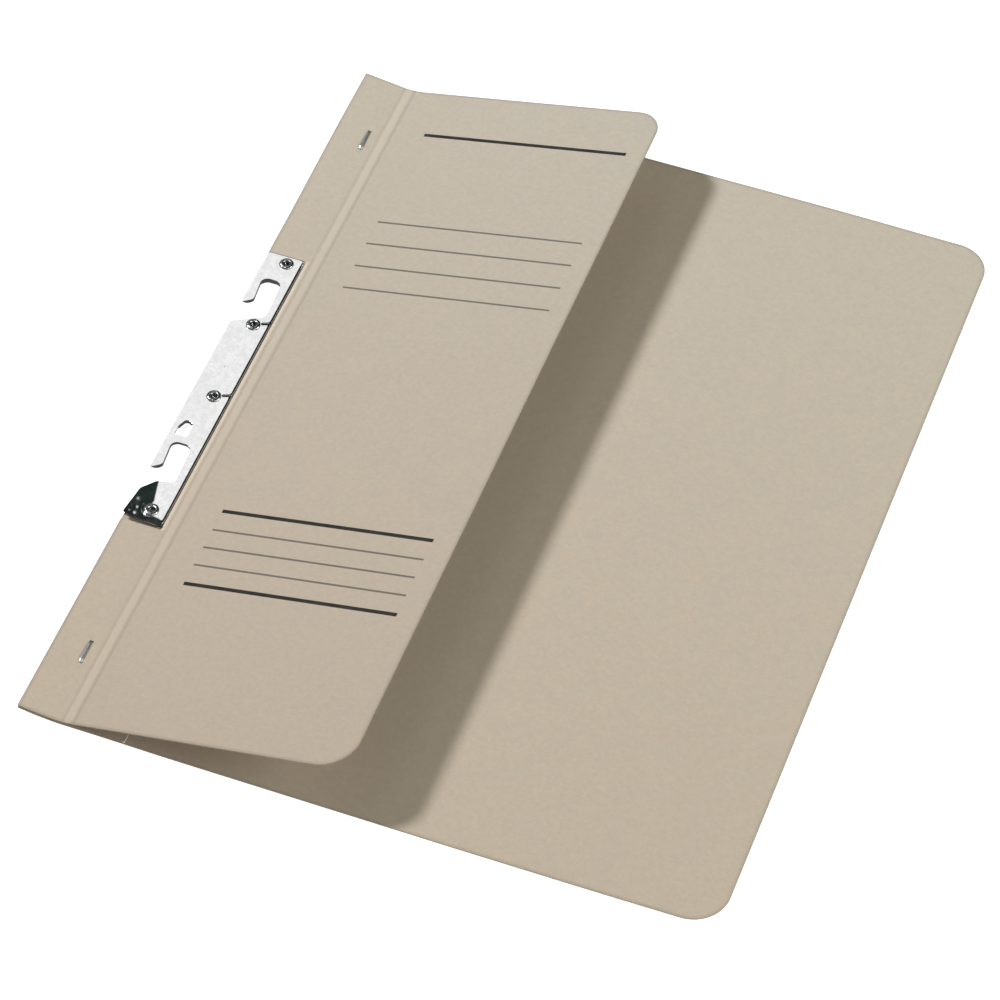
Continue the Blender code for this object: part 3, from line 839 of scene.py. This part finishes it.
FORE_EDGE = SCORE_2 + COVER_REACH
cover_outline = [
    (SEAM, 0.0, 0.0),
    (FORE_EDGE, 0.0, CORNER_R + 1.2),
    (FORE_EDGE, SHEET_H, CORNER_R - 1.2),
    (SEAM, SHEET_H, 0.0),
]
front_cover = plate(
    "front_sheet_cover",
    [rounded(cover_outline, 5.0)],
    np.concatenate([[17.95], SCORE_2 + across, np.arange(20.65, 21.4, 0.1), [22.4, 24.2, 26.6, 29.6], np.arange(33.0, FORE_EDGE, 4.0)]),
    front_y,
    front_top,
    front_bottom,
    [card_scored, card_scored, card_cut],
    rim=0.09,
    bend=folded,
    square=SEAM,
    margin=0.04,
    border=1.5,
)
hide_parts("front_hinge_band", "front_cover")
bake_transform(front_cover)

# The ruled label fields on the front cover: (x0, x1, y, width of the line).
BOLD, FINE = 1.50, 0.78
bold_lines = [(32.1, 110.3, 282.95, BOLD), (31.95, 109.1, 96.4, BOLD), (31.95, 109.1, 63.7, BOLD)]
fine_lines = [(32.1, 110.2, y, FINE) for y in (237.35, 226.35, 215.15, 204.15)]
fine_lines += [(31.95, 109.0, y, FINE) for y in (87.9, 80.0, 72.1)]


def ruled(name, lines, look):
    """Each line as a film of ink that lies in the surface of the cover."""
    points, faces = [], []
    for x0, x1, y, width in lines:
        xs = np.linspace(x0, x1, 27)
        first = sum(len(p) for p in points)
        for x in xs:
            section = np.array([(x, y - width / 2), (x, y + width / 2), (x, y + width / 2), (x, y - width / 2)])
            z = front_top(*section.T) + np.array((0.012, 0.012, -0.05, -0.05))
            points.append(np.column_stack([section, z]))
        for k in range(len(xs) - 1):
            a, b = first + 4 * k, first + 4 * (k + 1)
            faces += [(a + i, b + i, b + (i + 1) % 4, a + (i + 1) % 4) for i in range(4)]
        last = first + 4 * (len(xs) - 1)
        faces += [(first, first + 1, first + 2, first + 3), (last + 3, last + 2, last + 1, last)]
    return finished(name, folded(np.concatenate(points)), faces, [look], sharp=35.0)


for name, lines, look in (("cover_ruling_bold", bold_lines, ink), ("cover_ruling_fine", fine_lines, ink_fine)):
    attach(ruled(name, lines, look), "front_cover")

# ---------------------------------------------------------------- hook rail


def rolled(x, y):
    """The fore edge of the rail, turned down to the card on a round bend. It dies away at both ends."""
    ends = smooth((y - RAIL_Y0 - 0.4) / 1.6) * smooth((RAIL_Y1 - 0.4 - y) / 1.6)
    past = np.clip((x - SKEW * (SKEW_Y - y) - ROLL_X) / (RAIL_X1 - ROLL_X), 0.0, 1.0)
    return -0.60 * (1.0 - np.sqrt(1.0 - 0.97 * past**2)) * ends


LIP_LINE = np.array([(5.9, 104.6), (6.6, 101.2), (7.9, 95.6), (9.4, 91.6), (11.0, 89.2), (15.5, 87.8)])


LIP_DENTS = ((1.45, 86.5, 0.62, 0.18), (3.25, 86.4, 0.60, 0.165), (3.05, 89.1, 0.66, 0.155), (1.35, 88.9, 0.55, 0.155), (1.60, 92.6, 0.85, 0.155))


def beyond_lip(x, y):
    """How far a point of the rail lies beyond the bend of the lead-in lip, towards its lower corner at the spine."""
    points = np.column_stack([np.ravel(x), np.ravel(y)])
    off = np.full(len(points), np.inf)
    for a, b in zip(LIP_LINE, LIP_LINE[1:]):
        d = b - a
        t = np.clip(((points - a) @ d) / float(d @ d), 0, 1)
        off = np.minimum(off, np.hypot(*(points - a - t[:, None] * d).T))
    bend_x = np.interp(points[:, 1], LIP_LINE[::-1, 1], LIP_LINE[::-1, 0])
    beyond = (points[:, 0] < bend_x) & (points[:, 1] < LIP_LINE[0, 1])
    beyond |= points[:, 1] < LIP_LINE[-1, 1]
    return np.where(beyond, off, 0.0).reshape(np.shape(x))


def lip(x, y):
    """The lead-in lip below the lower hook slot, bent up off the card, with a flat seat left round its rivet."""
    u, turn = beyond_lip(x, y), 1.2
    bent = np.where(u < turn, u**3 / turn**2 * (1.0 - u / (2 * turn)), u - turn / 2)
    seat = smooth((np.hypot(x - RIVET_X, y - RIVET_Y[3]) - 2.5) / 1.6)
    dented = sum(deep * np.exp(-((x - at_x) ** 2 + (y - at_y) ** 2) / (2 * wide**2)) for at_x, at_y, wide, deep in LIP_DENTS)
    return (0.21 * bent - dented) * seat


def flange(x, y):
    """How far the edge of a hook slot is turned down below the rail, next to the slot."""
    points = np.column_stack([np.ravel(x), np.ravel(y)])
    found = np.zeros(len(points))
    for seat, at_seat, beside in ((UPPER_SEAT, 1.42, 0.90), (LOWER_SEAT, 0.55, 1.00)):
        line = rounded(hook_slot(seat), 6.0)
        off = np.full(len(points), np.inf)
        for p, q in zip(line, line[1:]):
            d = q - p
            t = np.clip(((points - p) @ d) / max(float(d @ d), 1e-12), 0, 1)
            off = np.minimum(off, np.hypot(*(points - p - t[:, None] * d).T))
        deep = at_seat + (beside - at_seat) * smooth((seat - 1.0 - points[:, 1]) / 2.0)
        deep = deep * smooth((points[:, 1] - seat + 21.0) / 3.0)
        found = np.maximum(found, deep * smooth((0.62 - off) / 0.22))
    found = found * smooth((points[:, 0] - 0.5) / 1.5)
    line = np.array([(2.25, 128.3), (3.1, 130.7), (3.7, 131.35), (4.4, 131.25), (5.4, 130.8)])
    off = np.full(len(points), np.inf)
    for p, q in zip(line, line[1:]):
        t = np.clip(((points - p) @ (q - p)) / float((q - p) @ (q - p)), 0, 1)
        off = np.minimum(off, np.hypot(*(points - p - t[:, None] * (q - p)).T))
    return np.maximum(found, 0.95 * smooth((0.62 - off) / 0.22)).reshape(np.shape(x))


def rail_face(x, y):
    wave = 0.012 * np.sin(y / 4.6 + 0.4) * np.sin(x / 5.0 + 0.7) + 0.006 * np.sin(y / 2.1 + x / 3.0)
    mark = -0.06 * np.exp(-(((x - 6.7) / 0.40) ** 2 + ((y - 158.2) / 1.30) ** 2))
    dish = sum(-0.05 * np.exp(-((np.hypot(x - RIVET_X, y - r) - 1.6) ** 2) / 1.1) for r in RIVET_Y)
    nick = 0.0
    for r in RIVET_Y[1:3]:
        # A crease pressed into the rail from the rivet to the fore edge.
        fall = np.interp(y - r - 0.43 * (x - RIVET_X), (-0.70, -0.58, 0.55, 0.75), (0.0, -0.01, -0.24, 0.0))
        nick = nick + fall * smooth((x - 10.6) / 0.4) * smooth((13.9 - x) / 0.5)
    return wave * smooth((12.6 - x) / 1.0) + mark + dish + nick


rail_outline = (
    [(RAIL_X0, RAIL_Y0, 1.2), (RAIL_X1 + SKEW * (SKEW_Y - RAIL_Y0), RAIL_Y0, 1.3), (RAIL_X1 + SKEW * (SKEW_Y - RAIL_Y1), RAIL_Y1, 1.7), (RAIL_X0, RAIL_Y1, 1.0)]
    + hook_slot(UPPER_SEAT)
    + hook_slot(LOWER_SEAT)[:5]
    + LIP_EDGE
)
rings = [circle(6.7, 158.2, r, 14) for r in (0.25, 0.5, 0.8, 1.1, 1.6, 2.2)] + [[(6.7, 158.2)]]
rings += [circle(RIVET_X, y, r, 40) for y in RIVET_Y for r in (2.0, 2.5, 3.1)]
for y in RIVET_Y[1:3]:
    rings += [[(x, y + 0.43 * (x - RIVET_X) + t) for x in np.arange(10.5, 13.1, 0.30)] for t in (-0.80, -0.70, -0.58, -0.3, 0.0, 0.3, 0.55, 0.65, 0.75, 0.9)]
for u in np.arange(-0.3, 1.6, 0.25):
    bend = split(LIP_LINE, [], [], 0.8)[:-1]
    rings.append(np.column_stack([bend[:, 0] - u, bend[:, 1] - 0.5 * u]))
rings.append([(x, y) for x in np.arange(0.5, 8.0, 0.42) for y in np.arange(85.2, 97.0, 0.42)])
for seat in (UPPER_SEAT, LOWER_SEAT):
    line = split(rounded(hook_slot(seat), 6.0), [], [], 0.9)
    for inset in (0.40, 0.51, 0.63):
        rings.append((line - inset * inward(line))[1:-1])
line = split(rounded(lower_window, 10.0), [], [], 0.9)
for inset in (0.40, 0.51, 0.63):
    rings.append(line - inset * inward(line))
for x in ROLL_X + np.array((-0.2, 0.0, 0.08, 0.16, 0.24, 0.32, 0.40, 0.48, 0.55, 0.62, 0.68, 0.74)):
    rings.append([(x + SKEW * (SKEW_Y - y), y) for y in np.arange(RAIL_Y0 + 0.5, RAIL_Y1, 0.95)])
rail = plate(
    "stamped_rail",
    [rounded(rail_outline, 6.0), rounded(lower_window, 10.0)] + rivet_holes,
    np.arange(0.9, 12.3, 0.75),
    np.arange(RAIL_Y0 + 0.5, RAIL_Y1, 0.95),
    lambda x, y: RAIL_TOP + rolled(x, y) + lip(x, y) + rail_face(x, y),
    lambda x, y: FRONT_Z + lip(x, y) - flange(x, y),
    [rail_plate, rail_plate, rail_sheared_shade],
    rim=0.03,
    steps=2,
    extra=np.concatenate([np.asarray(r, float) for r in rings]),
    longest=1.0,
    margin=0.05,
    sharp=20.0,
    dressed=True,
)
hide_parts("hook_rail")
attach(rail, "folder_back")

# ---------------------------------------------------------------- rivets

RIVET_PROFILE = [
    (0.0, 0.62),
    (0.80, 0.62),
    (1.00, 0.72),
    (1.05, 1.00),
    (1.06, 2.20),
    (1.09, 2.55),
    (1.17, 2.76),
    (1.32, 2.92),
    (1.52, 3.01),
    (1.74, 3.03),
    (1.96, 3.00),
    (2.18, 2.91),
    (2.38, 2.77),
    (2.52, 2.61),
    (2.55, 2.51),
    (2.47, 2.45),
    (1.80, 2.44),
    (1.48, 2.42),
    (1.42, 2.30),
    (1.42, 0.52),
    (1.56, 0.49),
    (2.30, 0.48),
    (2.44, 0.42),
    (2.47, 0.34),
    (2.40, 0.24),
    (2.20, 0.13),
    (1.80, 0.05),
    (1.20, 0.01),
    (0.0, 0.0),
]


def clenched(number):
    """The rolled rim of a clenched eyelet, a little uneven and split in a few places, each rivet its own way."""

    def shape(angles, r, z):
        on_rim = math.exp(-(((r - 1.95) / 0.60) ** 2)) * (1.0 if z > 2.44 else 0.0)
        uneven = 0.030 * np.sin(2 * angles + 1.7 * number) + 0.018 * np.sin(5 * angles + 0.6 * number)
        cracks = np.zeros(len(angles))
        for k in range(5):
            at = 2 * math.pi * (k + 0.23 * math.sin(3.1 * number + 1.9 * k)) / 5
            d = (angles - at + math.pi) % (2 * math.pi) - math.pi
            cracks += np.exp(-((d / 0.075) ** 2))
        return on_rim * (uneven - 0.05 * cracks), on_rim * (0.5 * uneven - 0.09 * cracks)

    return shape


for number, y in enumerate(RIVET_Y, 1):
    rivet = turned(f"eyelet_rivet_{number}", RIVET_PROFILE, RIVET_X, y, [rivet_plate], 72, clenched(number), 60.0)
    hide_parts(f"rivet_{number}")
    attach(rivet, "folder_back")

# ---------------------------------------------------------------- staples

for where, y in zip(("upper", "lower"), STAPLE_Y):
    lift = float(curl(STAPLE_X, y))
    crown, clench = FRONT_TOP + 0.26 + lift, 0.28 + lift
    tip = 1.15
    shoulder, drop = 3.42, 0.47
    line = Path(
        [
            (y + tip, clench + 0.05, 0.0),
            (y + 2.8, clench - 0.04, 4.0),
            (y + STAPLE_REACH, clench, 0.45),
            (y + STAPLE_REACH, crown - drop, 0.30),
            (y + shoulder, crown, 0.60),
            (y - shoulder, crown, 0.60),
            (y - STAPLE_REACH, crown - drop, 0.30),
            (y - STAPLE_REACH, clench, 0.45),
            (y - 2.8, clench - 0.04, 4.0),
            (y - tip, clench + 0.05, 0.0),
        ],
        6.0,
    )
    staple = drawn_wire(f"wire_staple_{where}", line, STAPLE_X, 0.60, 0.25, [wire_zinc])
    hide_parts(f"staple_{where}")
    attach(staple, "folder_back")

# ---------------------------------------------------------------- prong fastener


def strip_bend(line):
    """Carries a flat strip (length, width, thickness) onto a line in the y-z plane through the prongs."""

    def bend(flat):
        y, z = line.at(flat[:, 0], flat[:, 2])
        return np.column_stack([PRONG_X - flat[:, 1], y, z])

    return bend


def section_bend(line, middle):
    """Carries a flat sheet onto a cross-section in the x-z plane, running along y."""

    def bend(flat):
        x, z = line.at(flat[:, 0], flat[:, 2])
        return np.column_stack([PRONG_X + x, middle + flat[:, 1], z])

    return bend


half = PRONG_T / 2
for where, side in (("upper", 1), ("lower", -1)):
    root_y = MIDDLE_Y + side * PRONG_ROOT
    line = Path([(root_y, 1.48, 0.0), (root_y, PRONG_Z, 0.42), (root_y - side * PRONG_L, PRONG_Z, 0.0)], 6.0)
    w, end = PRONG_W / 2, line.length
    u = np.concatenate([np.arange(0.15, 1.9, 0.07), np.arange(2.1, end, 1.3)])
    prong = plate(
        f"fastener_prong_{where}",
        [rounded([(0.0, -w, 0.0), (end, -w, 2.2), (end, w, 2.2), (0.0, w, 0.0)])],
        u,
        np.linspace(-w, w, 9)[1:-1],
        lambda x, y: np.full(np.shape(x), half),
        lambda x, y: np.full(np.shape(x), -half),
        [tin, tin, tin_edge],
        dressed=True,
        rim=0.07,
        steps=3,
        bend=strip_bend(line),
        longest=1.5,
        margin=0.05,
    )
    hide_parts(f"prong_{where}")
    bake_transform(prong)

line = Path(
    [
        (MIDDLE_Y + PRONG_ROOT, 1.46, 0.0),
        (MIDDLE_Y + PRONG_ROOT, 1.14, 0.2),
        (MIDDLE_Y - PRONG_ROOT, 1.14, 0.2),
        (MIDDLE_Y - PRONG_ROOT, 1.46, 0.0),
    ]
)
w, end = PRONG_W / 2, line.length
base = plate(
    "fastener_base_strip",
    [rounded([(0.0, -w, 0.0), (end, -w, 0.0), (end, w, 0.0), (0.0, w, 0.0)])],
    np.concatenate([np.arange(0.06, 0.7, 0.05), np.arange(2.0, end - 1.0, 4.0), np.arange(end - 0.7, end, 0.05)]),
    np.linspace(-w, w, 5)[1:-1],
    level(0.12),
    level(-0.12),
    [tin, tin, tin_edge],
    dressed=True,
    rim=0.04,
    bend=strip_bend(line),
    margin=0.02,
)
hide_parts("prong_base")
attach(base, "folder_back")

BAR_T = 0.30
line = Path(
    [(-3.62, 3.09, 0.0), (-4.85, 3.09, 0.34), (-4.85, 1.90, 0.34), (4.85, 1.90, 0.34), (4.85, 3.09, 0.34), (3.62, 3.09, 0.0)], 7.0
)
end = line.length
floor_u = end / 2
b = BAR_L / 2
bar_outline = [(0.0, -b + 1.5, 0.6), (2.6, -b, 0.8), (end - 2.6, -b, 0.8), (end, -b + 1.5, 0.6), (end, b - 1.5, 0.6), (end - 2.6, b, 0.8), (2.6, b, 0.8), (0.0, b - 1.5, 0.6)]
bar_slots = [slot_outline(floor_u, side * PRONG_ROOT, SLOT_W, SLOT_L, 0.3) for side in (1, -1)]
turns = np.unique(np.round(line.u[(line.u > 0.2) & (line.u < end - 0.2)], 3))


def bar_rib(x, y):
    """Two long ribs pressed up in the floor of the bar, between its prong slots."""
    ribs = np.exp(-(((np.abs(x - floor_u) - 2.9) / 0.42) ** 2))
    return 0.10 * ribs * smooth((36.0 - np.abs(y)) / 3.0)


bar = plate(
    "fastener_bar",
    [rounded(bar_outline)] + bar_slots,
    np.unique(np.concatenate([turns, floor_u + np.linspace(-4.2, 4.2, 29)])),
    np.linspace(-b, b, 59)[1:-1],
    lambda x, y: BAR_T / 2 + bar_rib(x, y),
    lambda x, y: -BAR_T / 2 + bar_rib(x, y),
    [tin, tin, tin_edge],
    dressed=True,
    rim=0.07,
    steps=3,
    bend=section_bend(line, MIDDLE_Y),
    longest=2.2,
    margin=0.03,
)
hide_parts("cover_bar")
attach(bar, "folder_back")

line = Path([(-4.40, 2.78, 0.0), (-2.12, 2.78, 0.32), (-1.70, 3.31, 0.32), (1.70, 3.31, 0.32), (2.12, 2.78, 0.32), (4.40, 2.78, 0.0)], 7.0)
end = line.length
mid = end / 2
l = SLIDER_L / 2


def slider_ribs(x, y):
    """Finger ribs across the raised middle of a slider."""
    ribs = sum(np.exp(-(((y - k * 1.15) / 0.26) ** 2)) for k in (-2, -1, 0, 1, 2))
    return 0.09 * ribs * smooth((1.5 - np.abs(x - mid)) / 0.5)


turns = line.u[(line.u > 0.2) & (line.u < end - 0.2)]
for where, side in (("upper", 1), ("lower", -1)):
    slider = plate(
        f"fastener_slider_{where}",
        [rounded([(0.0, -l, 0.9), (end, -l, 0.9), (end, l, 0.9), (0.0, l, 0.9)])],
        np.unique(np.round(np.concatenate([turns, np.linspace(0.3, end - 0.3, 30)]), 3)),
        np.linspace(-l, l, 53)[1:-1],
        lambda x, y: 0.13 + slider_ribs(x, y),
        lambda x, y: -0.13 + slider_ribs(x, y),
        [tin, tin, tin_edge],
        dressed=True,
        rim=0.06,
        steps=3,
        bend=section_bend(line, MIDDLE_Y + side * SLIDER_REST),
        longest=0.8,
        margin=0.03,
    )
    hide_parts(f"slider_{where}")
    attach(slider, f"slider_{where}")

# ---------------------------------------------------------------- floor, light and camera

scene = bpy.context.scene

mesh = bpy.data.meshes.new("studio_floor")
reach = 4.0
mesh.from_pydata([(-reach, -reach, -2e-5), (reach, -reach, -2e-5), (reach, reach, -2e-5), (-reach, reach, -2e-5)], [], [(0, 1, 2, 3)])
floor = bpy.data.objects.new("studio_floor", mesh)
scene.collection.objects.link(floor)
k = Nodes("floor_white", roughness=0.9, specular=0.0, colour=(0.5, 0.5, 0.5))
k.shader.inputs["Emission Color"].default_value = (1.0, 1.0, 1.0, 1.0)
k.shader.inputs["Emission Strength"].default_value = 0.80
k.material.cycles.emission_sampling = "NONE"
mesh.materials.append(k.material)


def softbox(name, direction, distance, size, power, colour=(1.0, 1.0, 1.0), shape="RECTANGLE"):
    """A light in that direction from the middle of the folder, turned towards it."""
    data = bpy.data.lights.new(name, "AREA")
    data.shape = shape
    data.size, data.size_y = size
    data.energy = power
    data.color = colour
    lamp = bpy.data.objects.new(name, data)
    towards = Vector(direction).normalized()
    lamp.location = towards * distance
    lamp.rotation_mode = "QUATERNION"
    lamp.rotation_quaternion = towards.to_track_quat("Z", "Y")
    scene.collection.objects.link(lamp)
    return lamp


KEY = Vector((-0.673, 0.0, 0.740))
softbox("key", KEY, 2.4, (0.31, 0.31), 51.8, (0.99, 1.0, 1.0), "DISK")
softbox("fill_right", (0.893, 0.030, 0.450), 1.9, (1.1, 1.1), 26.3, (0.938, 1.0, 0.930))
softbox("fill_foot", (0.720, -0.560, 0.41), 1.9, (0.9, 0.7), 9.0, (0.943, 1.0, 0.923))
softbox("overhead", (-0.326, -0.162, 0.931), 2.04, (0.4, 0.8), 1.5)
softbox("rail_softbox", (-0.341, 0.579, 0.741), 1.733, (0.46, 0.80), 1.19)

# A cool spot beside the key, brightest beyond the head and gone at the foot.
data = bpy.data.lights.new("head_spot", "SPOT")
data.energy = 97.0
data.color = (0.387, 0.763, 1.0)
data.shadow_soft_size = 0.155
data.spot_size = math.radians(36.7)
data.spot_blend = 1.0
spot = bpy.data.objects.new("head_spot", data)
spot.location = KEY * 2.4
spot.rotation_mode = "QUATERNION"
spot.rotation_quaternion = (spot.location - Vector((0.180, 0.600, 0.0))).to_track_quat("Z", "Y")
scene.collection.objects.link(spot)

world = bpy.data.worlds.new("studio")
scene.world = world
world.use_nodes = True
tree = world.node_tree
tree.nodes.clear()
coords = tree.nodes.new("ShaderNodeTexCoord")
dot = tree.nodes.new("ShaderNodeVectorMath")
dot.operation = "DOT_PRODUCT"
dot.inputs[1].default_value = Vector((0.62, 0.60, 0.50)).normalized()
fade = tree.nodes.new("ShaderNodeMapRange")
fade.interpolation_type = "SMOOTHSTEP"
fade.inputs["From Min"].default_value = 0.55
fade.inputs["From Max"].default_value = 0.92
shade = tree.nodes.new("ShaderNodeMix")
shade.data_type = "RGBA"
shade.inputs[6].default_value = (0.022, 0.026, 0.025, 1.0)
shade.inputs[7].default_value = (0.009, 0.020, 0.018, 1.0)
south = tree.nodes.new("ShaderNodeVectorMath")
south.operation = "DOT_PRODUCT"
south.inputs[1].default_value = Vector((0.0, -0.87, 0.50)).normalized()
glow = tree.nodes.new("ShaderNodeMapRange")
glow.interpolation_type = "SMOOTHSTEP"
glow.inputs["From Min"].default_value = 0.45
glow.inputs["From Max"].default_value = 0.85
wall = tree.nodes.new("ShaderNodeMix")
wall.data_type = "RGBA"
wall.inputs[7].default_value = (0.30, 0.30, 0.295, 1.0)
back_light = tree.nodes.new("ShaderNodeBackground")
out = tree.nodes.new("ShaderNodeOutputWorld")
tree.links.new(coords.outputs["Generated"], dot.inputs[0])
tree.links.new(dot.outputs["Value"], fade.inputs["Value"])
tree.links.new(fade.outputs["Result"], shade.inputs[0])
tree.links.new(coords.outputs["Generated"], south.inputs[0])
tree.links.new(south.outputs["Value"], glow.inputs["Value"])
tree.links.new(glow.outputs["Result"], wall.inputs[0])
tree.links.new(shade.outputs[2], wall.inputs[6])
tree.links.new(wall.outputs[2], back_light.inputs["Color"])
tree.links.new(back_light.outputs["Background"], out.inputs["Surface"])

scene.view_settings.view_transform = "Standard"
scene.view_settings.look = "None"
scene.view_settings.exposure = 0.0
scene.view_settings.gamma = 1.0

azimuth, elevation, bank = (math.radians(a) for a in (19.628, 50.597, 0.995))
back_axis = Vector((math.sin(azimuth) * math.cos(elevation), -math.cos(azimuth) * math.cos(elevation), math.sin(elevation)))
right = Vector((math.cos(azimuth), math.sin(azimuth), 0.0))
up = back_axis.cross(right)
right, up = math.cos(bank) * right + math.sin(bank) * up, math.cos(bank) * up - math.sin(bank) * right
target = Vector((-3.986, -15.342, 1.163)) * MM
camera = bpy.data.objects.new("camera", bpy.data.cameras.new("camera"))
scene.collection.objects.link(camera)
camera.data.sensor_width = 36.0
camera.data.lens = 153.256
camera.data.clip_start, camera.data.clip_end = 0.05, 50.0
at = target + back_axis * 1.4261
camera.matrix_world = Matrix(
    ((right.x, up.x, back_axis.x, at.x), (right.y, up.y, back_axis.y, at.y), (right.z, up.z, back_axis.z, at.z), (0, 0, 0, 1))
)
scene.camera = camera
